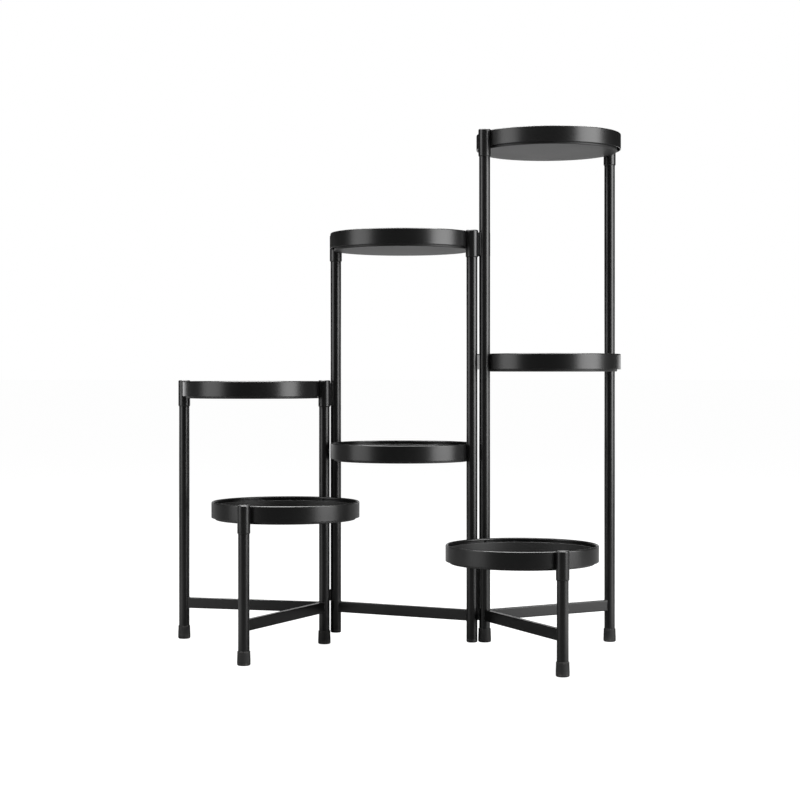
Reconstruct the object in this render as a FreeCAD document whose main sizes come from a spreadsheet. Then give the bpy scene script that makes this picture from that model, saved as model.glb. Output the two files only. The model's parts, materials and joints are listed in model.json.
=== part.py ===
import FreeCAD, Part
import math
import os
import re

import Sketcher

# Seven-tray plant stand: a two-post middle frame with a three-post wing clipped to each side.
# Millimetres and degrees. +X is the viewer's right, +Y points away from the viewer, +Z is up.
# The origin is on the floor, in the middle of the stand's plan.

SIZES = [
    # posts and what closes their ends
    ("tube_radius", 10.0, "outside of every post"),
    ("tube_wall", 1.2, "wall of every post"),
    ("foot_radius", 11.8, "rubber foot, outside"),
    ("foot_height", 25.0, "rubber foot, from end to end"),
    ("foot_sole", 4.0, "rubber under the end of the tube"),
    ("foot_round", 1.6, "rounding of the foot's lower edge"),
    ("foot_top_round", 0.9, "rounding of the foot's upper edge"),
    ("frame_lift", 20.0, "lower ends of the posts that hang clear of the floor"),
    ("plug_head", 6.0, "visible head of the end plug"),
    ("plug_spigot", 14.0, "part of the plug inside the tube"),
    ("plug_round", 2.0, "rounding of the plug's head"),
    ("collar_radius", 11.4, "sleeve at the top of a post, outside"),
    ("collar_height", 50.0, "sleeve at the top of a post"),
    ("collar_cap", 4.0, "closed end of the sleeve"),
    ("collar_rise", 1.5, "sleeve's top above the ring"),
    ("collar_round", 3.0, "rounding of the closed end"),
    ("collar_chamfer", 1.1, "chamfer at the sleeve's mouth"),
    # rings
    ("ring_radius", 134.0, "tray ring, outside"),
    ("ring_height", 28.5, "tray ring band"),
    ("ring_wall", 2.0, "tray ring band, thickness"),
    ("bead_width", 4.4, "rolled edge at the ring's top, inwards"),
    ("bead_height", 4.0, "rolled edge, downwards"),
    ("bead_round", 1.3, "rounding of the rolled edge, outside"),
    ("bead_chamfer", 1.1, "chamfer of the rolled edge, inside"),
    ("ledge_reach", 6.4, "ledge under the pan's lip, inwards from the band's outside"),
    ("ledge_top", 19.5, "ledge above the band's lower edge"),
    ("ledge_thick", 1.6, "ledge"),
    ("post_offset", 6.4, "post axis outside the ring's own circle"),
    # pans
    ("lip_inset", 5.4, "pan's lip, inside the ring's outside"),
    ("lip_thick", 1.4, "pan's lip"),
    ("pan_inset", 6.8, "pan's wall, inside the ring's outside"),
    ("pan_wall", 1.2, "sheet of the pan"),
    ("pan_drop", 4.0, "pan's floor below the band"),
    ("pan_corner", 1.8, "rounding where wall meets floor, outside"),
    ("pan_gap", 0.3, "slack under the pan's lip"),
    # ring tops above the floor
    ("left_high", 495.0, "left wing, high tray"),
    ("left_low", 277.5, "left wing, low tray"),
    ("middle_high", 769.0, "middle frame, high tray"),
    ("middle_low", 380.5, "middle frame, low tray"),
    ("right_high", 953.0, "right wing, high tray"),
    ("right_middle", 545.5, "right wing, middle tray"),
    ("right_low", 209.5, "right wing, low tray"),
    # cross bars
    ("bar_height", 20.0, "rectangular cross tube"),
    ("bar_width", 10.0, "rectangular cross tube"),
    ("bar_wall", 1.2, "rectangular cross tube"),
    ("bar_top", 79.0, "cross tubes above the floor"),
    # clips that hang the middle frame between the wings
    ("link_length", 23.5, "between neighbouring post axes"),
    ("clip_bore", 10.06, "clip's turning bore"),
    ("clip_wall", 1.9, "clip's arm and saddle"),
    ("clip_web", 7.0, "web between the two posts"),
    ("upper_clip_height", 43.0, "clip beside a sleeve"),
    ("left_lower_clip_height", 20.0, "clip above the left bars"),
    ("right_lower_clip_height", 76.0, "clip above the right bars"),
    ("lower_clip_bottom", 81.0, "lower clips above the floor"),
    ("upper_clip_drop", 3.0, "upper clip's top below the ring's top"),
    ("web_tail", 21.0, "right lower web below its arm"),
    ("arm_start", 20.0, "arm's open end, from the line between the posts"),
    ("arm_sweep", 200.0, "how far the arm goes round"),
    ("saddle_start", -25.0, "saddle's first edge"),
    ("saddle_sweep", 105.0, "how far the saddle goes round"),
    # fasteners
    ("screw_radius", 1.5, "self-tapping screw's shank"),
    ("screw_head", 2.9, "clip screw's head"),
    ("screw_head_rise", 1.6, "height of a clip screw's head"),
    ("screw_bite", 2.0, "shank past the tube's outside"),
    ("sleeve_screw_head", 2.6, "sleeve screw's flat head"),
    ("sleeve_screw_rise", 0.8, "height of a sleeve screw's head"),
    ("sleeve_screw_height", 10.0, "sleeve screws above the band's lower edge"),
    ("rivet_radius", 2.0, "stop rivet's head"),
    ("rivet_rise", 1.7, "stop rivet's head, out of the tube"),
    ("rivet_gap", 0.4, "between a stop rivet and its clip"),
    # plan: directions between post axes, seen from above
    ("left_rear_bearing", 166.0, "left shared post to left rear post"),
    ("left_front_bearing", 242.5, "left shared post to left front post"),
    ("left_link_bearing", 25.0, "left shared post to middle left post"),
    ("middle_bearing", -26.0, "middle left post to middle right post"),
    ("right_link_bearing", 8.0, "middle right post to right shared post"),
    ("right_rear_bearing", 29.5, "right shared post to right rear post"),
    ("right_front_bearing", -65.0, "right shared post to right front post"),
    ("screw_bearing", 55.0, "clip screws, from the line between the posts"),
    ("rivet_bearing", 92.0, "stop rivets, from +X"),
]

doc = FreeCAD.newDocument("tiered_plant_stand")
sheet = doc.addObject("Spreadsheet::Sheet", "sizes")
for row_number, (alias, value, note) in enumerate(SIZES, 1):
    sheet.set("A%d" % row_number, alias)
    sheet.set("B%d" % row_number, str(value))
    sheet.set("C%d" % row_number, note)
    sheet.setAlias("B%d" % row_number, alias)
workings = doc.addObject("Spreadsheet::Sheet", "workings")
doc.recompute()

UP = FreeCAD.Vector(0, 0, 1)
sub_parts = []


def bound(text):
    """The same formula with every word read from the sheet."""
    return re.sub(r"[a-z_]+", r"sizes.\g<0>", text)


def size(text):
    """The value of a formula of sheet words, as a plain number."""
    workings.set("A1", "=" + bound(text))
    workings.recompute()
    return float(workings.get("A1"))


def bind(piece, **formulas):
    """Ties properties of a piece to formulas of sheet words."""
    for name, formula in formulas.items():
        piece.setExpression(name, bound(formula))


def placed(x, y, z, bearing=0.0):
    return FreeCAD.Placement(FreeCAD.Vector(x, y, z), FreeCAD.Rotation(UP, bearing))


def finish(piece, label, placement):
    """Names a finished sub-part and puts it in its place on the stand."""
    piece.Label = label
    piece.Placement = placement
    sub_parts.append(piece)
    return piece


# ---------------------------------------------------------------- plan

def polar(start, length, bearing):
    turn = math.radians(bearing)
    return (start[0] + length * math.cos(turn), start[1] + length * math.sin(turn))


span = size("2 * ring_radius + 2 * post_offset")
link = size("link_length")


def plan():
    """Every post's axis, with the middle of the whole plan at zero."""
    at = {"left_shared": (0.0, 0.0)}
    at["left_rear"] = polar(at["left_shared"], span, size("left_rear_bearing"))
    at["left_front"] = polar(at["left_shared"], span, size("left_front_bearing"))
    at["middle_left"] = polar(at["left_shared"], link, size("left_link_bearing"))
    at["middle_right"] = polar(at["middle_left"], span, size("middle_bearing"))
    at["right_shared"] = polar(at["middle_right"], link, size("right_link_bearing"))
    at["right_rear"] = polar(at["right_shared"], span, size("right_rear_bearing"))
    at["right_front"] = polar(at["right_shared"], span, size("right_front_bearing"))
    rounds = [(x, y, size("foot_radius")) for x, y in at.values()]
    for first, second in PANELS:
        x, y = middle_of(at[first], at[second])
        rounds.append((x, y, size("ring_radius")))
    centre_x = (min(x - r for x, y, r in rounds) + max(x + r for x, y, r in rounds)) / 2
    centre_y = (min(y - r for x, y, r in rounds) + max(y + r for x, y, r in rounds)) / 2
    return {name: (x - centre_x, y - centre_y) for name, (x, y) in at.items()}


def middle_of(first, second):
    return ((first[0] + second[0]) / 2, (first[1] + second[1]) / 2)


def bearing_between(first, second):
    return math.degrees(math.atan2(second[1] - first[1], second[0] - first[0]))


PANELS = [
    ("left_shared", "left_rear"),
    ("left_shared", "left_front"),
    ("middle_left", "middle_right"),
    ("right_shared", "right_rear"),
    ("right_shared", "right_front"),
]
posts = plan()

# the ring top that each post's sleeve carries
POST_TOPS = {
    "left_rear": "left_high",
    "left_shared": "left_high",
    "left_front": "left_low",
    "middle_left": "middle_high",
    "middle_right": "middle_high",
    "right_shared": "right_high",
    "right_rear": "right_high",
    "right_front": "right_low",
}

# the middle frame hangs between the wings, and so does the post that the right wing turns on
HANGING = ["middle_left", "middle_right", "right_shared"]

# tray, its panel, and what each end of the ring is welded to
TRAYS = [
    ("left_high", 0, "collar_radius", "collar_radius"),
    ("left_low", 1, "tube_radius", "collar_radius"),
    ("middle_high", 2, "collar_radius", "collar_radius"),
    ("middle_low", 2, "tube_radius", "tube_radius"),
    ("right_high", 3, "collar_radius", "collar_radius"),
    ("right_middle", 3, "tube_radius", "tube_radius"),
    ("right_low", 4, "tube_radius", "collar_radius"),
]

BARS = ["left_rear", "left_front", "middle", "right_rear", "right_front"]


# ---------------------------------------------------------------- turned pieces

def origin_plane(body, role):
    return next(item for item in body.Origin.OriginFeatures if item.Role == role)


def section_sketch(body, outline):
    """A closed half section on the XZ plane. Each corner is (radius, height), as formulas."""
    sketch = body.newObject("Sketcher::SketchObject", body.Name + "_section")
    sketch.AttachmentSupport = (origin_plane(body, "XZ_Plane"), [""])
    sketch.MapMode = "FlatFace"
    corners = [FreeCAD.Vector(size(r), size(z), 0) for r, z in outline]
    count = len(corners)
    for i in range(count):
        sketch.addGeometry(Part.LineSegment(corners[i], corners[(i + 1) % count]), False)
    for i in range(count):
        sketch.addConstraint(Sketcher.Constraint("Coincident", i, 2, (i + 1) % count, 1))
    for i, (radius, height) in enumerate(outline):
        for kind, formula, value, axis in (
            ("DistanceX", radius, corners[i].x, -2),
            ("DistanceY", height, corners[i].y, -1),
        ):
            if abs(value) < 1e-9:
                sketch.addConstraint(Sketcher.Constraint("PointOnObject", i, 1, axis))
                continue
            index = sketch.addConstraint(Sketcher.Constraint(kind, -1, 1, i, 1, value))
            sketch.setExpression("Constraints[%d]" % index, bound(formula))
    return sketch


def turned(name, outline):
    """A body turned about Z from its half section."""
    body = doc.addObject("PartDesign::Body", name)
    sketch = section_sketch(body, outline)
    turn = body.newObject("PartDesign::Revolution", name + "_turn")
    turn.Profile = sketch
    turn.ReferenceAxis = (sketch, ["V_Axis"])
    turn.Angle = 360.0
    sketch.Visibility = False
    doc.recompute()
    return body, turn


def round_edges(base, corners):
    """The names of the circular edges at the given (radius, height) corners."""
    edges = []
    for number, edge in enumerate(base.Shape.Edges, 1):
        if not isinstance(edge.Curve, Part.Circle):
            continue
        for corner_radius, corner_height in corners:
            same_radius = abs(edge.Curve.Radius - size(corner_radius)) < 0.01
            same_height = abs(edge.Curve.Center.z - size(corner_height)) < 0.01
            if same_radius and same_height:
                edges.append("Edge%d" % number)
    return edges


def rounded(body, base, corners, radius):
    """Rounds the circular edges of a body at the given (radius, height) corners."""
    fillet = body.newObject("PartDesign::Fillet", base.Name + "_round")
    fillet.Base = (base, round_edges(base, corners))
    fillet.setExpression("Radius", bound(radius))
    doc.recompute()
    return fillet


def chamfered(body, base, corners, length):
    """Chamfers the circular edges of a body at the given (radius, height) corners."""
    chamfer = body.newObject("PartDesign::Chamfer", base.Name + "_chamfer")
    chamfer.Base = (base, round_edges(base, corners))
    chamfer.setExpression("Size", bound(length))
    doc.recompute()
    return chamfer


def notch_for_posts(body, base, first_radius, second_radius):
    """Cuts the band where the two posts or sleeves of its panel are let into it, along its Y."""
    sketch = body.newObject("Sketcher::SketchObject", body.Name + "_notches")
    sketch.AttachmentSupport = (origin_plane(body, "XY_Plane"), [""])
    sketch.MapMode = "FlatFace"
    for index, (side, radius) in enumerate(((-1, first_radius), (1, second_radius))):
        centre = FreeCAD.Vector(0, side * span / 2, 0)
        sketch.addGeometry(Part.Circle(centre, UP, size(radius)), False)
        sketch.addConstraint(Sketcher.Constraint("PointOnObject", index, 3, -2))
        ends = (-1, 1, index, 3) if side > 0 else (index, 3, -1, 1)
        distance = sketch.addConstraint(Sketcher.Constraint("DistanceY", *ends, span / 2))
        sketch.setExpression("Constraints[%d]" % distance, bound("ring_radius + post_offset"))
        girth = sketch.addConstraint(Sketcher.Constraint("Radius", index, size(radius)))
        sketch.setExpression("Constraints[%d]" % girth, bound(radius))
    pocket = body.newObject("PartDesign::Pocket", body.Name + "_notch")
    pocket.Profile = sketch
    pocket.Type = "ThroughAll"
    pocket.Reversed = True
    sketch.Visibility = False
    doc.recompute()
    if pocket.Shape.Volume > base.Shape.Volume - 1.0:
        raise RuntimeError("the notches of %s cut nothing" % body.Name)
    return pocket


# ---------------------------------------------------------------- posts

def cylinder(name, radius, height):
    piece = doc.addObject("Part::Cylinder", name)
    bind(piece, Radius=radius, Height=height)
    return piece


def cut(name, base, tool):
    piece = doc.addObject("Part::Cut", name)
    piece.Base = base
    piece.Tool = tool
    return piece


def fuse(name, pieces):
    piece = doc.addObject("Part::MultiFuse", name)
    piece.Shapes = pieces
    piece.Refine = True
    return piece


def lower_end(name):
    """The height of a post's foot or plug above the floor, as a formula."""
    return "frame_lift" if name in HANGING else "0"


def make_post(name):
    """A steel tube from its foot or plug up to the closed end of its sleeve."""
    stop = "plug_head" if name.startswith("middle") else "foot_sole"
    bottom = "%s + %s" % (lower_end(name), stop)
    height = "%s + collar_rise - collar_cap - %s" % (POST_TOPS[name], bottom.replace("+", "-"))
    label = name + "_post"
    outside = cylinder(label + "_outside", "tube_radius", height)
    inside = cylinder(label + "_inside", "tube_radius - tube_wall", height)
    tube = cut(label + "_tube", outside, inside)
    finish(tube, label, placed(*posts[name], size(bottom)))


def make_foot(name):
    """A rubber cup pushed over the end of the tube."""
    body, turn = turned(name + "_foot_body", [
        ("0", "0"),
        ("foot_radius", "0"),
        ("foot_radius", "foot_height"),
        ("tube_radius", "foot_height"),
        ("tube_radius", "foot_sole"),
        ("0", "foot_sole"),
    ])
    lower = rounded(body, turn, [("foot_radius", "0")], "foot_round")
    rounded(body, lower, [("foot_radius", "foot_height")], "foot_top_round")
    finish(body, name + "_foot", placed(*posts[name], size(lower_end(name))))


def make_plug(name):
    """A plastic end plug: a head as wide as the tube, on a spigot inside it."""
    body, turn = turned(name + "_plug_body", [
        ("0", "0"),
        ("tube_radius", "0"),
        ("tube_radius", "plug_head"),
        ("tube_radius - tube_wall", "plug_head"),
        ("tube_radius - tube_wall", "plug_head + plug_spigot"),
        ("0", "plug_head + plug_spigot"),
    ])
    rounded(body, turn, [("tube_radius", "0")], "plug_round")
    finish(body, name + "_plug", placed(*posts[name], size(lower_end(name))))


def make_collar(name):
    """The closed sleeve over the top of a post, which its ring is welded to."""
    body, turn = turned(name + "_collar_body", [
        ("tube_radius", "0"),
        ("collar_radius - collar_chamfer", "0"),
        ("collar_radius", "collar_chamfer"),
        ("collar_radius", "collar_height"),
        ("0", "collar_height"),
        ("0", "collar_height - collar_cap"),
        ("tube_radius", "collar_height - collar_cap"),
    ])
    rounded(body, turn, [("collar_radius", "collar_height")], "collar_round")
    bottom = size(POST_TOPS[name] + " + collar_rise - collar_height")
    finish(body, name + "_collar", placed(*posts[name], bottom))


# ---------------------------------------------------------------- trays

def tray_placement(tray, panel):
    """The tray's own Y axis runs from its panel's first post to the second."""
    first, second = (posts[name] for name in PANELS[panel])
    bottom = size(tray + " - ring_height")
    return placed(*middle_of(first, second), bottom, bearing_between(first, second) - 90)


def make_ring(tray, panel, first_radius, second_radius):
    """A steel band with a rolled top edge and an inner ledge that the pan's lip rests on."""
    body, turn = turned(tray + "_ring_body", [
        ("ring_radius", "0"),
        ("ring_radius", "ring_height"),
        ("ring_radius - bead_width", "ring_height"),
        ("ring_radius - bead_width", "ring_height - bead_height"),
        ("ring_radius - ring_wall", "ring_height - bead_height"),
        ("ring_radius - ring_wall", "ledge_top"),
        ("ring_radius - ledge_reach", "ledge_top"),
        ("ring_radius - ledge_reach", "ledge_top - ledge_thick"),
        ("ring_radius - ring_wall", "ledge_top - ledge_thick"),
        ("ring_radius - ring_wall", "0"),
    ])
    outer_edge = rounded(body, turn, [("ring_radius", "ring_height")], "bead_round")
    inner_rim = [("ring_radius - bead_width", "ring_height")]
    bead = chamfered(body, outer_edge, inner_rim, "bead_chamfer")
    notch_for_posts(body, bead, first_radius, second_radius)
    finish(body, tray + "_ring", tray_placement(tray, panel))


def make_pan(tray, panel):
    """A pressed sheet pan that hangs in the ring by its lip and lifts straight out."""
    body, turn = turned(tray + "_pan_body", [
        ("0", "0 - pan_drop"),
        ("ring_radius - pan_inset", "0 - pan_drop"),
        ("ring_radius - pan_inset", "ledge_top + pan_gap"),
        ("ring_radius - lip_inset", "ledge_top + pan_gap"),
        ("ring_radius - lip_inset", "ledge_top + pan_gap + lip_thick"),
        ("ring_radius - pan_inset - pan_wall", "ledge_top + pan_gap + lip_thick"),
        ("ring_radius - pan_inset - pan_wall", "pan_wall - pan_drop"),
        ("0", "pan_wall - pan_drop"),
    ])
    outer = rounded(body, turn, [("ring_radius - pan_inset", "0 - pan_drop")], "pan_corner")
    inner = [("ring_radius - pan_inset - pan_wall", "pan_wall - pan_drop")]
    rounded(body, outer, inner, "pan_corner - pan_wall")
    finish(body, tray + "_pan", tray_placement(tray, panel))


# ---------------------------------------------------------------- cross bars

def make_bar(name, panel):
    """A rectangular tube between two posts, with its ends cut to sit against them."""
    first, second = (posts[post] for post in PANELS[panel])
    label = name + "_bar"
    outside = doc.addObject("Part::Box", label + "_outside")
    bind(outside, Length="2 * ring_radius + 2 * post_offset", Width="bar_width", Height="bar_height")
    outside.Placement = placed(0, -size("bar_width") / 2, 0)
    hollow = doc.addObject("Part::Box", label + "_hollow")
    bind(
        hollow,
        Length="2 * ring_radius + 2 * post_offset",
        Width="bar_width - 2 * bar_wall",
        Height="bar_height - 2 * bar_wall",
    )
    hollow.Placement = placed(0, size("bar_wall - bar_width / 2"), size("bar_wall"))
    ends = []
    for end, x in enumerate((0, span)):
        tube = cylinder("%s_end_%d" % (label, end), "tube_radius", "bar_height")
        tube.Placement = placed(x, 0, 0)
        ends.append(tube)
    bar = cut(label + "_cut", outside, fuse(label + "_waste", [hollow] + ends))
    bottom = size("bar_top - bar_height")
    finish(bar, label, placed(*first, bottom, bearing_between(first, second)))


# ---------------------------------------------------------------- clips and their fasteners

def sector(name, radius, height, start, sweep, x=0.0, z=0.0):
    """A slice of a cylinder, from a start angle through a sweep."""
    piece = cylinder(name, radius, height)
    bind(piece, Angle=sweep)
    piece.Placement = placed(x, 0, z, size(start))
    return piece


def make_clip(label, held, swinging, held_radius, bottom, height, tail="0"):
    """A plastic clip, screwed by its saddle to one post. Its open arm lets the next post turn.

    Its own X axis runs from the held post to the turning one.
    """
    outer = "clip_bore + clip_wall"
    arm = sector(label + "_arm", outer, height, "arm_start", "arm_sweep", link)
    saddle_outer = held_radius + " + clip_wall"
    saddle = sector(label + "_saddle", saddle_outer, height, "saddle_start", "saddle_sweep")
    web = doc.addObject("Part::Box", label + "_web")
    bind(web, Length="link_length", Width="clip_web", Height="%s + %s" % (height, tail))
    web.Placement = placed(0, -size("clip_web") / 2, -size(tail))
    whole = fuse(label + "_whole", [arm, saddle, web])
    bores = []
    for post, radius, x in (("held", held_radius, 0), ("turning", "clip_bore", link)):
        bore = cylinder("%s_%s_bore" % (label, post), radius, "%s + %s" % (height, tail))
        bore.Placement = placed(x, 0, -size(tail))
        bores.append(bore)
    if tail != "0":
        # below the arm the web stands a little further off the turning post
        slack_radius = "clip_bore + rivet_gap"
        bores.append(sector(label + "_slack", slack_radius, tail, "90", "180", link, -size(tail)))
    clip = cut(label + "_cut", whole, fuse(label + "_bores", bores))
    bearing = bearing_between(posts[held], posts[swinging])
    finish(clip, label, placed(*posts[held], size(bottom), bearing))


def radial(post, bearing, start, z):
    """A placement whose own Z axis points straight out of a post."""
    x, y = polar(posts[post], start, bearing)
    outwards = FreeCAD.Vector(math.cos(math.radians(bearing)), math.sin(math.radians(bearing)), 0)
    return FreeCAD.Placement(FreeCAD.Vector(x, y, z), FreeCAD.Rotation(UP, outwards))


def fastener(name, post, bearing, seat, z, shank_radius, head_radius, head_rise, bite):
    """A round-headed fastener driven into a post. seat is where its head's underside sits."""
    shank = cylinder(name + "_shank", shank_radius, bite)
    shank.Placement = placed(0, 0, -size(bite))
    head = cylinder(name + "_head", head_radius, head_rise)
    whole = fuse(name, [shank, head])
    whole.Placement = radial(post, bearing, size(seat), z)
    return whole


def group(label, pieces):
    """Several identical fasteners in one node."""
    together = doc.addObject("Part::Compound", label + "_group")
    together.Links = pieces
    finish(together, label, placed(0, 0, 0))


def make_clip_screws(side, held, swinging, lower_height, upper_level):
    """The screws that hold a side's two clips to their post, driven in from behind."""
    bearing = bearing_between(posts[held], posts[swinging]) + size("screw_bearing")
    upper_middle = size("%s - upper_clip_drop - upper_clip_height / 2" % upper_level)
    lower_middle = size("lower_clip_bottom + %s / 2" % lower_height)
    quarter = size("upper_clip_height / 4")
    places = [
        ("collar_radius + clip_wall", upper_middle + quarter),
        ("collar_radius + clip_wall", upper_middle - quarter),
        ("tube_radius + clip_wall", lower_middle),
    ]
    screws = []
    for number, (seat, z) in enumerate(places):
        name = "%s_clip_screw_%d" % (side, number)
        bite = "clip_wall + screw_bite"
        screws.append(fastener(
            name, held, bearing, seat, z, "screw_radius", "screw_head", "screw_head_rise", bite))
    group(side + "_clip_screws", screws)


def make_stop_rivets(label, post, heights):
    """Rivets in a turning post that rest on its clips, or carry them."""
    rivets = []
    for number, z in enumerate(heights):
        name = "%s_%d" % (label, number)
        rivets.append(fastener(
            name, post, size("rivet_bearing"), "tube_radius", z,
            "screw_radius", "rivet_radius", "rivet_rise", "tube_wall"))
    group(label, rivets)


def make_collar_screws(side, names):
    """One flat-headed screw from inside the ring through each sleeve into its post.

    Its head is hidden between the band and the pan.
    """
    bite = "collar_radius - tube_radius + tube_wall"
    screws = []
    for name in names:
        panel = next(pair for pair in PANELS if name in pair)
        facing = middle_of(posts[panel[0]], posts[panel[1]])
        bearing = bearing_between(posts[name], facing)
        z = size(POST_TOPS[name] + " - ring_height + sleeve_screw_height")
        screws.append(fastener(
            name + "_sleeve_screw", name, bearing, "collar_radius", z,
            "screw_radius", "sleeve_screw_head", "sleeve_screw_rise", bite))
    group(side + "_collar_screws", screws)


# ---------------------------------------------------------------- the stand

for post_name in posts:
    make_post(post_name)
    make_collar(post_name)
    if post_name.startswith("middle"):
        make_plug(post_name)
    else:
        make_foot(post_name)

for tray_name, panel_number, first_end, second_end in TRAYS:
    make_ring(tray_name, panel_number, first_end, second_end)
    make_pan(tray_name, panel_number)

for panel_number, bar_name in enumerate(BARS):
    make_bar(bar_name, panel_number)

for side, held, swinging, level, lower_height, tail in (
    ("left", "left_shared", "middle_left", "left_high", "left_lower_clip_height", "0"),
    ("right", "middle_right", "right_shared", "middle_high", "right_lower_clip_height", "web_tail"),
):
    upper_bottom = level + " - upper_clip_drop - upper_clip_height"
    make_clip(side + "_upper_clip", held, swinging, "collar_radius", upper_bottom, "upper_clip_height")
    make_clip(
        side + "_lower_clip", held, swinging, "tube_radius", "lower_clip_bottom", lower_height, tail)
    make_clip_screws(side, held, swinging, lower_height, level)

# the middle frame hangs on the left clips by its rivets; the right wing's rivets carry the right clips
make_stop_rivets("middle_stop_rivets", "middle_left", [
    size("lower_clip_bottom + left_lower_clip_height + rivet_gap + rivet_radius"),
    size("left_high - upper_clip_drop + rivet_gap + rivet_radius"),
])
make_stop_rivets("right_stop_rivets", "right_shared", [
    size("lower_clip_bottom - rivet_gap - rivet_radius"),
    size("middle_high - upper_clip_drop - upper_clip_height - rivet_gap - rivet_radius"),
])

make_collar_screws("left", ["left_rear", "left_shared", "left_front"])
make_collar_screws("middle", ["middle_left", "middle_right"])
make_collar_screws("right", ["right_shared", "right_rear", "right_front"])

doc.recompute()

# ---------------------------------------------------------------- check and write

for item in doc.Objects:
    if "Invalid" in item.State or "Error" in item.State:
        raise RuntimeError("%s is in state %s" % (item.Label, item.State))
for item in sub_parts:
    if item.Shape.isNull() or not item.Shape.isValid():
        raise RuntimeError("%s has no valid shape" % item.Label)

os.makedirs("parts", exist_ok=True)
for item in sub_parts:
    item.Shape.exportStep("parts/%s.step" % item.Label)
    box = item.Shape.BoundBox
    print("%-24s solids %d volume %9.0f z %7.2f to %7.2f" % (
        item.Label, len(item.Shape.Solids), item.Shape.Volume, box.ZMin, box.ZMax))
for post_name, (post_x, post_y) in posts.items():
    print("%-14s axis at %8.3f %8.3f" % (post_name, post_x, post_y))
print(len(sub_parts), "sub-parts")
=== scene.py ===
import json
import math

import bmesh
import bpy
from mathutils import Matrix, Vector


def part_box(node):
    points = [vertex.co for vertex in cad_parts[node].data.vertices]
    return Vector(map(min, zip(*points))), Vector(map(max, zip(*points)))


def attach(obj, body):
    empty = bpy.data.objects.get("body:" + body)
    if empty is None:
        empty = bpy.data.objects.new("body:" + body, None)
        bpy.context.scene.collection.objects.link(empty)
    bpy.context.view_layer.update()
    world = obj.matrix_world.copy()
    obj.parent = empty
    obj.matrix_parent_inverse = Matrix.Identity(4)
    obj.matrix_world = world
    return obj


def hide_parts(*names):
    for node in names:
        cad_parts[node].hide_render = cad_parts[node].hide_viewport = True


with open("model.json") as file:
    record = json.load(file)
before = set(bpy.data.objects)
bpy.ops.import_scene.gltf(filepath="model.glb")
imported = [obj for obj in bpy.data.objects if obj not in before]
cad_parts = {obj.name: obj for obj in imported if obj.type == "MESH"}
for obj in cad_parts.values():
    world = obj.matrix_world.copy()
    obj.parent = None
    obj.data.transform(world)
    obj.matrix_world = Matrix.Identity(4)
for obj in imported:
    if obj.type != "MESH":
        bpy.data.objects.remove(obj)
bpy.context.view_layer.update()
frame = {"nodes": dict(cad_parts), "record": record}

MM = 0.001
UP = Vector((0, 0, 1))


# ---------------------------------------------------------------- shader maths

class Socket:
    """One output of a shader node, so that a finish can be written as plain arithmetic."""

    def __init__(self, finish, output):
        self.finish = finish
        self.output = output

    def _maths(self, operation, *values):
        return self.finish.node("ShaderNodeMath", {"operation": operation}, dict(enumerate(values)))

    def __add__(self, other):
        return self._maths("ADD", self, other)

    def __radd__(self, other):
        return self._maths("ADD", other, self)

    def __sub__(self, other):
        return self._maths("SUBTRACT", self, other)

    def __rsub__(self, other):
        return self._maths("SUBTRACT", other, self)

    def __mul__(self, other):
        return self._maths("MULTIPLY", self, other)

    def __rmul__(self, other):
        return self._maths("MULTIPLY", other, self)

    def above(self, low, high):
        """0 under low, 1 over high, smooth between."""
        settings = {"interpolation_type": "SMOOTHSTEP"}
        return self.finish.node("ShaderNodeMapRange", settings, {0: self, 1: low, 2: high})


class Finish:
    """A procedural material, put together from one Principled shader."""

    def __init__(self, name):
        self.material = bpy.data.materials.new(name)
        self.material.use_nodes = True
        self.tree = self.material.node_tree
        self.shader = next(n for n in self.tree.nodes if n.type == "BSDF_PRINCIPLED")
        self.at = self.node("ShaderNodeTexCoord", output="Object")

    def node(self, kind, settings=None, values=None, output=0):
        made = self.tree.nodes.new(kind)
        for key, value in (settings or {}).items():
            setattr(made, key, value)
        for key, value in (values or {}).items():
            self.feed(made.inputs[key], value)
        return Socket(self, made.outputs[output])

    def feed(self, target, value):
        if isinstance(value, Socket):
            self.tree.links.new(value.output, target)
        else:
            target.default_value = value

    def noise(self, size, detail=2.0, roughness=0.5):
        """Cloudy 0 to 1 noise whose lumps are about that many millimetres across."""
        values = {"Vector": self.at, "Scale": 1.0 / (size * MM), "Detail": detail, "Roughness": roughness}
        return self.node("ShaderNodeTexNoise", {}, values)

    def edge_mask(self):
        """1 on the worked edges of a piece, 0 away from them."""
        return self.node("ShaderNodeAttribute", {"attribute_name": "edge"}, {}, "Fac")

    def blend(self, share, first, second):
        """One colour into another."""
        settings = {"data_type": "RGBA"}
        return self.node("ShaderNodeMix", settings, {0: share, 6: first, 7: second}, 2)

    def bump(self, height, strength, depth):
        values = {"Height": height, "Strength": strength, "Distance": depth * MM}
        return self.node("ShaderNodeBump", {}, values)

    def set(self, **sockets):
        for name, value in sockets.items():
            self.feed(self.shader.inputs[name.replace("_", " ")], value)


def grey(level, warm=0.0):
    return (level * (1 + warm), level, level * (1 - warm), 1.0)


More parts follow.
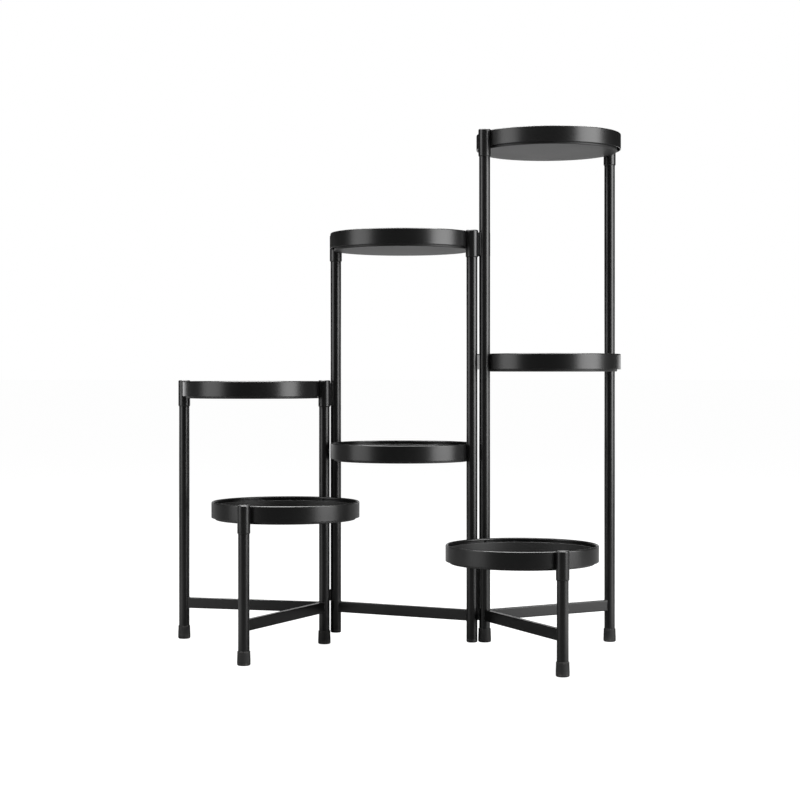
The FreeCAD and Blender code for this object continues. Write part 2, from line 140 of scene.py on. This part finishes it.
def powder_coat(name, level, gloss, worn):
    """Satin black powder coat on steel: fine orange peel, slow gloss changes, edges rubbed a little."""
    coat = Finish(name)
    peel = coat.noise(1.6, 3.0) * 0.6 + coat.noise(0.5, 2.0) * 0.4
    cloud = coat.noise(70.0, 4.0)
    speck = coat.noise(0.9, 1.0).above(0.70, 0.80)
    rubbed = coat.edge_mask() * coat.noise(9.0, 5.0, 0.7).above(0.48, 0.66) * worn
    shade = coat.blend(cloud, grey(level * 0.85), grey(level * 1.15))
    shade = coat.blend(speck * 0.25, shade, grey(level * 2.2))
    shade = coat.blend(rubbed, shade, grey(level * 5.0, 0.03))
    coat.set(
        Base_Color=shade,
        Roughness=cloud * 0.06 + (gloss - 0.03) + peel * 0.04 + rubbed * 0.06,
        Normal=coat.bump(peel, 0.06, 0.012),
        Specular_IOR_Level=0.5,
    )
    return coat.material


def foot_rubber(name):
    """Moulded rubber: dull, a little grey with dust low down."""
    rubber = Finish(name)
    grain = rubber.noise(0.35, 2.0)
    cloud = rubber.noise(14.0, 4.0)
    height = rubber.node("ShaderNodeSeparateXYZ", {}, {0: rubber.at}, "Z")
    dusty = (1 - height.above(0.0, 0.012)) * cloud.above(0.35, 0.7)
    scuffed = rubber.edge_mask() * rubber.noise(4.0, 4.0).above(0.45, 0.65)
    shade = rubber.blend(cloud, grey(0.011), grey(0.018))
    shade = rubber.blend(dusty * 0.5 + scuffed * 0.25, shade, grey(0.10, 0.05))
    rubber.set(
        Base_Color=shade,
        Roughness=cloud * 0.1 + 0.62,
        Normal=rubber.bump(grain, 0.5, 0.06),
        Specular_IOR_Level=0.35,
    )
    return rubber.material


def moulded_plastic(name):
    """Black moulded plastic with a fine spark-eroded grain."""
    plastic = Finish(name)
    grain = plastic.noise(0.28, 1.0)
    cloud = plastic.noise(20.0, 3.0)
    polished = plastic.edge_mask() * plastic.noise(5.0, 3.0).above(0.4, 0.6)
    plastic.set(
        Base_Color=plastic.blend(cloud, grey(0.014), grey(0.021)),
        Roughness=cloud * 0.08 + 0.42 - polished * 0.12,
        Normal=plastic.bump(grain, 0.45, 0.05),
        Specular_IOR_Level=0.5,
    )
    return plastic.material


def blackened_steel(name):
    """Black oxide on a fastener, thin on its edges."""
    steel = Finish(name)
    cloud = steel.noise(1.5, 4.0)
    thin = steel.edge_mask() * cloud.above(0.4, 0.6)
    steel.set(
        Base_Color=steel.blend(thin * 0.6, grey(0.03), grey(0.28)),
        Metallic=0.9,
        Roughness=cloud * 0.15 + 0.3,
        Normal=steel.bump(steel.noise(0.2, 2.0), 0.3, 0.02),
    )
    return steel.material


FRAME_COAT = powder_coat("frame_powder_coat", 0.003, 0.28, 0.35)
SLEEVE_COAT = powder_coat("sleeve_powder_coat", 0.004, 0.27, 0.30)
PAN_COAT = powder_coat("pan_powder_coat", 0.012, 0.46, 0.20)
RUBBER = foot_rubber("foot_rubber")
CLIP_PLASTIC = moulded_plastic("clip_plastic")
PLUG_PLASTIC = moulded_plastic("plug_plastic")
SCREW_STEEL = blackened_steel("screw_steel")

MATERIAL_OF_SLOT = {
    "frame_steel": FRAME_COAT,
    "sleeve_steel": SLEEVE_COAT,
    "pan_steel": PAN_COAT,
    "foot_rubber": RUBBER,
    "clip_plastic": CLIP_PLASTIC,
    "plug_plastic": PLUG_PLASTIC,
    "screw_steel": SCREW_STEEL,
}
SLOT_OF_NODE = {part["node"]: part["material_slot"] for part in frame["record"]["subparts"]}
BODY_OF_NODE = {
    node: body for body, nodes in frame["record"]["behaviour"]["bodies"].items() for node in nodes
}


# ---------------------------------------------------------------- outlines and meshes

GUARD = 0.7      # how far from a corner its edge wear reaches, mm
ARC_STEP = 15.0  # degrees between the points of a rounded corner


def rounded(corners):
    """A closed flat outline in mm from (x, y, rounding) corners, as (x, y, edge) points.

    edge is 1 on a corner and 0 between corners, for the wear on worked edges.
    """
    points = []
    count = len(corners)
    for i, (x, y, radius) in enumerate(corners):
        here = Vector((x, y))
        before = Vector(corners[i - 1][:2])
        after = Vector(corners[(i + 1) % count][:2])
        back = (before - here).normalized()
        on = (after - here).normalized()
        turn = math.pi - back.angle(on)
        reach = radius * math.tan(turn / 2)
        near = min((before - here).length, (after - here).length) / 2
        guard = min(reach + GUARD, near * 0.98)
        if guard > reach + 0.05:
            points.append((*(here + back * guard), 0.0))
        if radius <= 0:
            points.append((x, y, 1.0))
        else:
            centre = here + (back + on).normalized() * (radius / math.cos(turn / 2))
            start = here + back * reach - centre
            finish = here + on * reach - centre
            steps = max(2, round(math.degrees(turn) / ARC_STEP))
            swing = start.angle_signed(finish)
            for step in range(steps + 1):
                angle = -swing * step / steps
                spoke = Vector((
                    start.x * math.cos(angle) - start.y * math.sin(angle),
                    start.x * math.sin(angle) + start.y * math.cos(angle),
                ))
                points.append((*(centre + spoke), 1.0))
        if guard > reach + 0.05:
            points.append((*(here + on * guard), 0.0))
    return points


def sharpen(mesh, limit=32.0):
    """Smooth shading, except over edges sharper than the limit."""
    form = bmesh.new()
    form.from_mesh(mesh)
    bmesh.ops.recalc_face_normals(form, faces=form.faces)
    for face in form.faces:
        face.smooth = True
    for edge in form.edges:
        edge.smooth = len(edge.link_faces) == 2 and edge.calc_face_angle(0.0) < math.radians(limit)
    form.to_mesh(mesh)
    form.free()


def make_piece(name, vertices, faces, edge_values, node, replaces=()):
    """A finished piece in metres that stands for its CAD node and moves with the node's body."""
    mesh = bpy.data.meshes.new(name)
    mesh.from_pydata([tuple(c * MM for c in v) for v in vertices], [], faces)
    edge = mesh.attributes.new("edge", "FLOAT", "POINT")
    edge.data.foreach_set("value", edge_values)
    sharpen(mesh)
    piece = bpy.data.objects.new(name, mesh)
    bpy.context.scene.collection.objects.link(piece)
    mesh.materials.append(MATERIAL_OF_SLOT[SLOT_OF_NODE[node]])
    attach(piece, BODY_OF_NODE[node])
    for covered in replaces:
        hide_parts(covered)


def turned(name, node, centre, corners, steps=64, place=None, socket=0.0):
    """A piece turned about the vertical through centre, from (radius, height, rounding) corners.

    place then moves it. What is no wider than socket gets six flats.
    """
    outline = rounded(corners)
    vertices = []
    edges = []
    rows = []
    for radius, height, edge in outline:
        if radius < 1e-6:
            rows.append([len(vertices)] * steps)
            vertices.append((centre.x, centre.y, height))
            edges.append(edge)
            continue
        rows.append(list(range(len(vertices), len(vertices) + steps)))
        for step in range(steps):
            angle = 2 * math.pi * step / steps
            across = radius
            if radius <= socket:
                across *= math.cos(math.pi / 6) / math.cos(angle % (math.pi / 3) - math.pi / 6)
            x = centre.x + across * math.cos(angle)
            y = centre.y + across * math.sin(angle)
            vertices.append((x, y, height))
            edges.append(edge)
    if place:
        vertices = [place @ Vector(vertex) for vertex in vertices]
    faces = []
    for row, upper in zip(rows, rows[1:] + rows[:1]):
        for step in range(steps):
            onward = (step + 1) % steps
            ring = [row[step], row[onward], upper[onward], upper[step]]
            face = list(dict.fromkeys(ring))
            if len(face) > 2:
                faces.append(face)
    make_piece(name, vertices, faces, edges, node, [node])


def middle(node):
    """The middle of a node's box, in mm."""
    low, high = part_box(node)
    return (low + high) / (2 * MM)


def bottom(node):
    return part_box(node)[0].z / MM


def top(node):
    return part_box(node)[1].z / MM


def width(node):
    low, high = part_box(node)
    return (high.x - low.x) / MM


# ---------------------------------------------------------------- the stand's pieces

POSTS = [
    "left_rear", "left_shared", "left_front", "middle_left",
    "middle_right", "right_shared", "right_rear", "right_front",
]
TRAYS = [
    "left_high", "left_low", "middle_high", "middle_low",
    "right_high", "right_middle", "right_low",
]
BARS = {
    "left_rear_bar": ("left_shared_post", "left_rear_post"),
    "left_front_bar": ("left_shared_post", "left_front_post"),
    "middle_bar": ("middle_left_post", "middle_right_post"),
    "right_rear_bar": ("right_shared_post", "right_rear_post"),
    "right_front_bar": ("right_shared_post", "right_front_post"),
}

# the tray whose band each sleeve is welded to
SLEEVE_TRAYS = {
    "left_rear": "left_high", "left_shared": "left_high", "left_front": "left_low",
    "middle_left": "middle_high", "middle_right": "middle_high",
    "right_shared": "right_high", "right_rear": "right_high", "right_front": "right_low",
}

# sizes in mm
TUBE = width("left_shared_post") / 2
TUBE_WALL = 1.2
SLIP = 0.02           # between a tube and what is pushed over it
SLEEVE = width("left_shared_collar") / 2
END_WALL = 4.0        # a sleeve's closed end, and a foot's sole
PLUG_HEAD = 6.0
RING_RADIUS = width("left_high_pan") / 2 + 5.4
RING_WALL = 2.0
BEAD_WIDTH = 4.4
BEAD_HEIGHT = 4.0
BEAD_ROUND = 2.1
LEDGE_REACH = 6.4
LEDGE_TOP = 19.5
LEDGE_THICK = 1.6
PAN_SHEET = 1.2
PAN_LIP = 1.4         # how far the lip stands out, and how thick its edge is
BAR_HALF = 5.0
BAR_CORNER = 1.3
CLIP_BORE = 10.06
CLIP_WALL = 1.9
CLIP_WEB = 7.0
CLIP_ROUND = 0.5
CLIP_TAILS = {"left": 0.0, "right": 21.0}    # how far a lower clip's web goes on below its arm
ARM = (20.0, 220.0)        # the open arm round the turning post, degrees from the line between posts
SADDLE = (-25.0, 80.0)     # the saddle on the held post
SCREW_BEARING = 55.0       # clip screws, degrees from the line between posts
RIVET_BEARING = 92.0       # stop rivets, degrees from +X
RIVET_SEAT = 2.4           # from a clip's end to the middle of its stop rivet
SHANK = 1.5
CLIP_SCREW = (2.9, 1.6)    # head radius and rise
SLEEVE_SCREW = (2.6, 0.8)
SLEEVE_SCREW_HEIGHT = 10.0
STOP_RIVET = (2.0, 1.7)
WELD = 0.75                # a weld bead's radius
WELD_PITCH = 0.5           # between the rings of points along a bead


def make_post(name):
    """A round steel tube, open inside."""
    node = name + "_post"
    at = middle(node)
    low, high = bottom(node), top(node)
    turned(name + "_tube", node, at, [
        (TUBE - TUBE_WALL, low, 0.0),
        (TUBE, low, 0.0),
        (TUBE, high, 0.0),
        (TUBE - TUBE_WALL, high, 0.0),
    ])


def make_sleeve(name):
    """The sleeve over a post's top: a closed, rounded end, and a mouth that tapers in at the bottom."""
    node = name + "_collar"
    at = middle(node)
    low, high = bottom(node), top(node)
    turned(name + "_sleeve", node, at, [
        (TUBE + SLIP, low, 0.0),
        (SLEEVE - 1.1, low, 0.25),
        (SLEEVE, low + 1.4, 0.8),
        (SLEEVE, high, 2.2),
        (0.0, high, 0.0),
        (0.0, high - END_WALL, 0.0),
        (TUBE + SLIP, high - END_WALL, 0.0),
    ])


def make_foot(name):
    """A rubber cup over the post's end, a little fuller at the floor, with a shallow hollow under it."""
    node = name + "_foot"
    at = middle(node)
    low, high = bottom(node), top(node)
    radius = width(node) / 2
    hollow = 0.6
    turned(name + "_rubber", node, at, [
        (0.0, low + hollow, 0.0),
        (radius - 5.0, low + hollow, 0.4),
        (radius - 4.2, low, 0.4),
        (radius, low, 2.6),
        (radius, low + 8.0, 6.0),
        (radius - 0.5, high - 3.0, 2.0),
        (radius - 0.5, high, 1.1),
        (TUBE + SLIP, high, 0.3),
        (TUBE + SLIP, low + END_WALL, 0.0),
        (0.0, low + END_WALL, 0.0),
    ])


def make_plug(name):
    """A plastic plug in the tube's lower end, its head as wide as the tube."""
    node = name + "_plug"
    at = middle(node)
    low, high = bottom(node), top(node)
    turned(name + "_end_plug", node, at, [
        (0.0, low, 0.0),
        (TUBE, low, 2.4),
        (TUBE, low + PLUG_HEAD, 0.3),
        (TUBE - TUBE_WALL, low + PLUG_HEAD, 0.0),
        (TUBE - TUBE_WALL, high, 1.0),
        (0.0, high, 0.0),
    ])


def make_ring(name):
    """The steel band, its rolled top edge and the ledge inside it."""
    node = name + "_ring"
    at = middle(name + "_pan")
    low, high = bottom(node), top(node)
    bead_inside = RING_RADIUS - BEAD_WIDTH
    inside = RING_RADIUS - RING_WALL
    ledge_inside = RING_RADIUS - LEDGE_REACH
    under_bead = high - BEAD_HEIGHT
    ledge = low + LEDGE_TOP
    under_ledge = ledge - LEDGE_THICK
    turned(name + "_band", node, at, [
        (RING_RADIUS, low, 0.5),
        (RING_RADIUS, high, BEAD_ROUND),
        (bead_inside, high, BEAD_ROUND),
        (bead_inside, under_bead, 1.0),
        (inside, under_bead, 0.3),
        (inside, ledge, 0.3),
        (ledge_inside, ledge, 0.5),
        (ledge_inside, under_ledge, 0.4),
        (inside, under_ledge, 0.3),
        (inside, low, 0.5),
    ], 192)


def make_pan(name):
    """The loose pan: pressed sheet with a lip that rests on the ledge."""
    node = name + "_pan"
    at = middle(node)
    low, high = bottom(node), top(node)
    lip = width(node) / 2
    wall = lip - PAN_LIP
    turned(name + "_sheet_pan", node, at, [
        (0.0, low, 0.0),
        (wall, low, 1.5),
        (wall, high - PAN_LIP, 0.2),
        (lip, high - PAN_LIP, 0.5),
        (lip, high, 0.6),
        (wall - PAN_SHEET, high, 0.7),
        (wall - PAN_SHEET, low + PAN_SHEET, 0.6),
        (0.0, low + PAN_SHEET, 0.0),
    ], 160)


def bar_outline(node):
    """A cross bar's section, as (sideways, height, edge) points."""
    low, high = bottom(node), top(node)
    return rounded([
        (-BAR_HALF, low, BAR_CORNER),
        (BAR_HALF, low, BAR_CORNER),
        (BAR_HALF, high, BAR_CORNER),
        (-BAR_HALF, high, BAR_CORNER),
    ])


def make_bar(node, first, second):
    """A rectangular cross tube with rounded corners, run a little into both posts."""
    start, end = middle(first), middle(second)
    start.z = end.z = 0.0
    along = (end - start).normalized()
    across = UP.cross(along)
    outline = bar_outline(node)
    hidden = TUBE * 0.7
    count = len(outline)
    vertices = []
    edges = []
    stations = [start + along * hidden, end - along * hidden]
    for station in stations:
        for sideways, height, edge in outline:
            spot = station + across * sideways
            vertices.append((spot.x, spot.y, height))
            edges.append(edge)
    faces = [list(range(count)), list(range(count, 2 * count))]
    for i in range(count):
        onward = (i + 1) % count
        faces.append([i, onward, count + onward, count + i])
    make_piece(node + "_tube", vertices, faces, edges, node, [node])


# ---------------------------------------------------------------- clips and fasteners


def arc(centre_x, radius, start, end):
    """Plan points along an arc, in steps of about six degrees."""
    count = max(2, round(abs(end - start) / 6.0))
    points = []
    for i in range(count + 1):
        angle = math.radians(start + (end - start) * i / count)
        points.append(Vector((centre_x + radius * math.cos(angle), radius * math.sin(angle))))
    return points


def clip_outline(reach, held_radius):
    """A clip from above, with the held post at zero and the turning post at reach."""
    saddle = held_radius + CLIP_WALL
    arm = CLIP_BORE + CLIP_WALL
    crossing = (reach ** 2 + saddle ** 2 - arm ** 2) / (2 * reach)
    sideways = max(CLIP_WEB / 2, math.sqrt(saddle ** 2 - crossing ** 2))
    at_saddle = math.degrees(math.asin(sideways / saddle))
    at_arm = 180.0 - math.degrees(math.asin(sideways / arm))
    points = arc(0.0, held_radius, *SADDLE)
    points += arc(0.0, saddle, SADDLE[1], at_saddle)
    points += arc(reach, arm, at_arm, ARM[0])
    points += arc(reach, CLIP_BORE, *ARM)
    points += arc(reach, arm, ARM[1], 360.0 - at_arm)
    points += arc(0.0, saddle, -at_saddle, SADDLE[0])
    return points


def tail_outline(reach, held_radius):
    """The web alone, as it goes on below an arm, with slack on the turning side."""
    half = math.degrees(math.asin(CLIP_WEB / 2 / held_radius))
    slack = CLIP_BORE + 0.4
    far = math.degrees(math.asin(CLIP_WEB / 2 / slack))
    return arc(0.0, held_radius, -half, half) + arc(reach, slack, 180.0 - far, 180.0 + far)


def raised(name, node, outline, low, high, place):
    """A plan outline raised from low to high, with its upper and lower edges rounded over."""
    flat = [spot for i, spot in enumerate(outline) if (spot - outline[i - 1]).length > 0.01]
    count = len(flat)
    area = sum(flat[i - 1].x * flat[i].y - flat[i].x * flat[i - 1].y for i in range(count))
    side = 1.0 if area > 0 else -1.0
    inwards = []
    for i in range(count):
        along = (flat[(i + 1) % count] - flat[i - 1]).normalized()
        inwards.append(Vector((-along.y, along.x)) * side)
    # inset, height over the end, edge wear
    half_section = [
        (CLIP_ROUND + 0.2, 0.0, 0.0),
        (CLIP_ROUND, 0.0, 1.0),
        (CLIP_ROUND * 0.29, CLIP_ROUND * 0.29, 1.0),
        (0.0, CLIP_ROUND, 1.0),
        (0.0, CLIP_ROUND + 0.5, 0.0),
    ]
    section = [(inset, low + rise, edge) for inset, rise, edge in half_section]
    section += [(inset, high - rise, edge) for inset, rise, edge in reversed(half_section)]
    vertices = []
    edges = []
    for inset, height, edge in section:
        for spot, inward in zip(flat, inwards):
            moved = spot + inward * inset
            vertices.append(place @ Vector((moved.x, moved.y, height)))
            edges.append(edge)
    faces = [list(range(count)), list(range(len(vertices) - count, len(vertices)))]
    for row in range(len(section) - 1):
        for i in range(count):
            onward = (i + 1) % count
            start = row * count
            faces.append([start + i, start + onward, start + count + onward, start + count + i])
    make_piece(name, vertices, faces, edges, node, [node])


def between(held, turning):
    """The place of the held post's axis, with X towards the turning one, and their distance."""
    start, end = middle(held + "_post"), middle(turning + "_post")
    start.z = end.z = 0.0
    bearing = math.atan2(end.y - start.y, end.x - start.x)
    return Matrix.Translation(start) @ Matrix.Rotation(bearing, 4, "Z"), (end - start).length


def make_clips(side, held, turning):
    """A side's upper and lower clip, the lower one with its web drawn on downwards by its tail."""
    place, reach = between(held, turning)
    for level, radius, tail in (("upper", SLEEVE, 0.0), ("lower", TUBE, CLIP_TAILS[side])):
        node = "%s_%s_clip" % (side, level)
        low, high = bottom(node) + tail, top(node)
        raised(node + "_moulding", node, clip_outline(reach, radius), low, high, place)
        if tail:
            web = tail_outline(reach, radius)
            raised(node + "_web", node, web, bottom(node), low + 1.0, place)


def facing(post, bearing, seat, z):
    """The place of a fastener that stands straight out of a post, its head's underside at seat."""
    at = middle(post + "_post")
    outwards = Vector((math.cos(bearing), math.sin(bearing), 0.0))
    spot = Vector((at.x, at.y, z)) + outwards * seat
    return Matrix.Translation(spot) @ outwards.to_track_quat("Z", "Y").to_matrix().to_4x4()


def make_screw(name, node, place, size, bite):
    """A button-headed screw with a six-sided socket. Its thread is inside the post."""
    head, rise = size
    turned(name, node, Vector((0, 0, 0)), [
        (0.0, -bite, 0.0),
        (SHANK, -bite, 0.4),
        (SHANK, 0.0, 0.0),
        (head, 0.0, 0.15),
        (head, rise * 0.45, rise * 0.3),
        (head * 0.62, rise, rise * 0.5),
        (head * 0.44, rise, 0.08),
        (head * 0.42, rise * 0.35, 0.0),
        (0.0, rise * 0.25, 0.0),
    ], 48, place, head * 0.45)


def make_rivet(name, node, place):
    """A stop rivet: a domed head on a short shank."""
    head, rise = STOP_RIVET
    turned(name, node, Vector((0, 0, 0)), [
        (0.0, -TUBE_WALL, 0.0),
        (SHANK, -TUBE_WALL, 0.2),
        (SHANK, 0.0, 0.0),
        (head, 0.0, 0.1),
        (head, 0.8, 0.5),
        (head * 0.6, rise, 0.9),
        (0.0, rise, 0.0),
    ], 40, place)


def make_clip_screws(side, held, turning):
    """Two screws through the upper clip's saddle and one through the lower clip's."""
    node = side + "_clip_screws"
    start, end = middle(held + "_post"), middle(turning + "_post")
    bearing = math.atan2(end.y - start.y, end.x - start.x) + math.radians(SCREW_BEARING)
    upper = side + "_upper_clip"
    lower = side + "_lower_clip"
    quarter = (top(upper) - bottom(upper)) / 4
    places = [
        (SLEEVE + CLIP_WALL, middle(upper).z + quarter),
        (SLEEVE + CLIP_WALL, middle(upper).z - quarter),
        (TUBE + CLIP_WALL, (bottom(lower) + CLIP_TAILS[side] + top(lower)) / 2),
    ]
    for number, (seat, z) in enumerate(places):
        place = facing(held, bearing, seat, z)
        make_screw("%s_clip_screw_%d" % (side, number), node, place, CLIP_SCREW, CLIP_WALL + 2.0)


def make_stop_rivets(side, post, heights):
    """The rivets on a turning post that its clips rest on, or that rest on its clips."""
    for number, z in enumerate(heights):
        place = facing(post, math.radians(RIVET_BEARING), TUBE, z)
        make_rivet("%s_stop_rivet_%d" % (side, number), side + "_stop_rivets", place)


def make_sleeve_screw(post, tray):
    """The flat screw behind the band that holds a sleeve to its post."""
    at, tray_middle = middle(post + "_post"), middle(tray + "_pan")
    bearing = math.atan2(tray_middle.y - at.y, tray_middle.x - at.x)
    place = facing(post, bearing, SLEEVE, bottom(tray + "_ring") + SLEEVE_SCREW_HEIGHT)
    node = post.split("_")[0] + "_collar_screws"
    make_screw(post + "_sleeve_screw", node, place, SLEEVE_SCREW, SLEEVE - TUBE + TUBE_WALL)


# ---------------------------------------------------------------- welds

def make_bar_welds(node, first, second):
    """The weld round each end of a cross bar: a thin bead with the ripple that the torch leaves."""
    start, end = middle(first), middle(second)
    start.z = end.z = 0.0
    rim = [(x, y) for x, y, edge in bar_outline(node)]
    path = []
    for i, (x, y) in enumerate(rim):
        onward = rim[(i + 1) % len(rim)]
        pieces = max(1, round(math.dist((x, y), onward) / WELD_PITCH))
        for k in range(pieces):
            path.append((x + (onward[0] - x) * k / pieces, y + (onward[1] - y) * k / pieces))
    sides = 8
    vertices = []
    faces = []
    for post, other in ((start, end), (end, start)):
        along = (other - post).normalized()
        across = UP.cross(along)
        first_row = len(vertices)
        for i, (sideways, height) in enumerate(path):
            out_way = Vector((sideways, height - middle(node).z)).normalized()
            outwards = across * out_way.x + UP * out_way.y
            depth = math.sqrt(TUBE ** 2 - sideways ** 2)
            spot = post + along * depth + across * sideways + UP * height
            ripple = 0.16 * math.sin(2 * math.pi * i / 3.3)
            wander = 0.10 * math.sin(i * 0.37)
            girth = WELD * (1 + ripple + wander)
            for k in range(sides):
                angle = 2 * math.pi * k / sides
                vertices.append(spot + (outwards * math.cos(angle) + along * math.sin(angle)) * girth)
        for i in range(len(path)):
            row = first_row + i * sides
            upper = first_row + (i + 1) % len(path) * sides
            for k in range(sides):
                onward = (k + 1) % sides
                faces.append([row + k, row + onward, upper + onward, upper + k])
    make_piece(node + "_welds", vertices, faces, [0.0] * len(vertices), node)


for post in POSTS:
    make_post(post)
    make_sleeve(post)
    if post.startswith("middle"):
        make_plug(post)
    else:
        make_foot(post)
for tray in TRAYS:
    make_ring(tray)
    make_pan(tray)
for bar, (bar_start, bar_end) in BARS.items():
    make_bar(bar, bar_start, bar_end)
    make_bar_welds(bar, bar_start, bar_end)
for clip_side, held_post, turning_post in (
    ("left", "left_shared", "middle_left"),
    ("right", "middle_right", "right_shared"),
):
    make_clips(clip_side, held_post, turning_post)
    make_clip_screws(clip_side, held_post, turning_post)
make_stop_rivets("middle", "middle_left", [
    top("left_lower_clip") + RIVET_SEAT,
    top("left_upper_clip") + RIVET_SEAT,
])
make_stop_rivets("right", "right_shared", [
    bottom("right_lower_clip") + CLIP_TAILS["right"] - RIVET_SEAT,
    bottom("right_upper_clip") - RIVET_SEAT,
])
for screwed_post, screwed_tray in SLEEVE_TRAYS.items():
    make_sleeve_screw(screwed_post, screwed_tray)

for node_name, node_object in frame["nodes"].items():
    finish_material = MATERIAL_OF_SLOT[SLOT_OF_NODE[node_name]]
    node_object.data.materials.clear()
    node_object.data.materials.append(finish_material)


# ---------------------------------------------------------------- floor, light and camera

SEEN_FLOOR = 0.985     # what the floor adds to the view, so that it runs out into the white behind
PAINTED_GLOW_BEHIND = 0.28  # painted glow: how brightly the floor behind the stand glows back at it, standing in for bounced light
PAINTED_GLOW_RIGHT = 1.8    # painted glow: how brightly the floor's pools on either side glow back at the stand, standing in for bounced light
PAINTED_GLOW_LEFT = 1.1     # the left painted pool is the weaker one
ROOM = 0.02            # the room in reflections


def make_floor():
    """A plain pale floor that runs past the view on every side, and glows back at the stand in painted
    pools of light.
    """
    mesh = bpy.data.meshes.new("floor")
    reach = 400.0
    corners = [(-reach, -reach, 0), (reach, -reach, 0), (reach, reach, 0), (-reach, reach, 0)]
    mesh.from_pydata(corners, [], [[0, 1, 2, 3]])
    floor = bpy.data.objects.new("floor", mesh)
    bpy.context.scene.collection.objects.link(floor)
    pale = Finish("pale_floor")
    pale.set(Base_Color=grey(0.08), Roughness=0.9, Emission_Color=grey(1.0), Specular_IOR_Level=0.2)
    seen = pale.node("ShaderNodeLightPath", output="Is Camera Ray")
    right = pale.node("ShaderNodeSeparateXYZ", {}, {0: pale.at}, "X")
    back = pale.node("ShaderNodeSeparateXYZ", {}, {0: pale.at}, "Y")
    # painted light: for every ray but the camera's, the floor glows back at the stand, behind it and in a
    # pool on either side
    painted_glow = back.above(0.4, 1.4) * PAINTED_GLOW_BEHIND
    for away, strength in ((right, PAINTED_GLOW_RIGHT), (0 - right, PAINTED_GLOW_LEFT)):
        across = away.above(0.3, 1.0) * (1 - away.above(1.0, 1.5))
        along = back.above(-1.1, -0.5) * (1 - back.above(0.0, 0.4))
        painted_glow = painted_glow + across * along * strength
    pale.set(Emission_Strength=seen * SEEN_FLOOR + (1 - seen) * painted_glow)
    mesh.materials.append(pale.material)


def softbox(name, place, target, breadth, height, power):
    lamp = bpy.data.lights.new(name, "AREA")
    lamp.shape = "RECTANGLE"
    lamp.size = breadth
    lamp.size_y = height
    lamp.energy = power
    box = bpy.data.objects.new(name, lamp)
    box.location = place
    box.rotation_euler = (Vector(target) - Vector(place)).to_track_quat("-Z", "Y").to_euler()
    bpy.context.scene.collection.objects.link(box)
    return box


def make_studio():
    """White all round for the eye, dim in reflections, with three softboxes and a strip behind."""
    world = bpy.data.worlds.new("studio")
    world.use_nodes = True
    bpy.context.scene.world = world
    tree = world.node_tree
    tree.nodes.clear()
    seen = tree.nodes.new("ShaderNodeBackground")
    seen.inputs["Color"].default_value = grey(1.0)
    seen.inputs["Strength"].default_value = 1.0
    dim = tree.nodes.new("ShaderNodeBackground")
    dim.inputs["Color"].default_value = grey(1.0)
    dim.inputs["Strength"].default_value = ROOM
    path = tree.nodes.new("ShaderNodeLightPath")
    mix = tree.nodes.new("ShaderNodeMixShader")
    out = tree.nodes.new("ShaderNodeOutputWorld")
    tree.links.new(path.outputs["Is Camera Ray"], mix.inputs[0])
    tree.links.new(dim.outputs[0], mix.inputs[1])
    tree.links.new(seen.outputs[0], mix.inputs[2])
    tree.links.new(mix.outputs[0], out.inputs[0])
    softbox("right_softbox", (2.30, -1.03, 1.05), (0.1, 0.0, 0.6), 1.75, 1.9, 72.0)
    softbox("left_softbox", (-2.32, -0.86, 1.05), (-0.1, 0.0, 0.6), 1.6, 1.9, 28.0)
    softbox("top_softbox", (0.0, 0.0, 2.5), (0.0, 0.0, 0.0), 2.6, 2.4, 320.0)
    strip = softbox("back_strip", (0.0, 3.2, 0.5), (0.0, 0.0, 0.5), 6.0, 0.45, 12.0)
    strip.visible_camera = False


IMAGE = 800.0          # the photograph's side, pixels
FOCAL = 1750.0         # focal length, pixels
HORIZON = 377.5        # the horizon's row in the photograph
SENSOR = 36.0          # mm
EYE_HEIGHT = 0.5018    # camera above the floor
EYE_RIGHT = 0.1427     # camera right of the left shared post
EYE_BACK = 3.3003      # camera in front of the left shared post


def make_camera():
    camera = bpy.data.cameras.new("camera")
    camera.sensor_width = SENSOR
    camera.lens = SENSOR * FOCAL / IMAGE
    camera.shift_y = (HORIZON - IMAGE / 2) / IMAGE
    viewer = bpy.data.objects.new("camera", camera)
    post = middle("left_shared_post") * MM
    viewer.location = (post.x + EYE_RIGHT, post.y - EYE_BACK, EYE_HEIGHT)
    viewer.rotation_euler = (math.radians(90), 0, 0)
    bpy.context.scene.collection.objects.link(viewer)
    bpy.context.scene.camera = viewer


make_floor()
make_studio()
make_camera()
bpy.context.scene.view_settings.view_transform = "Standard"
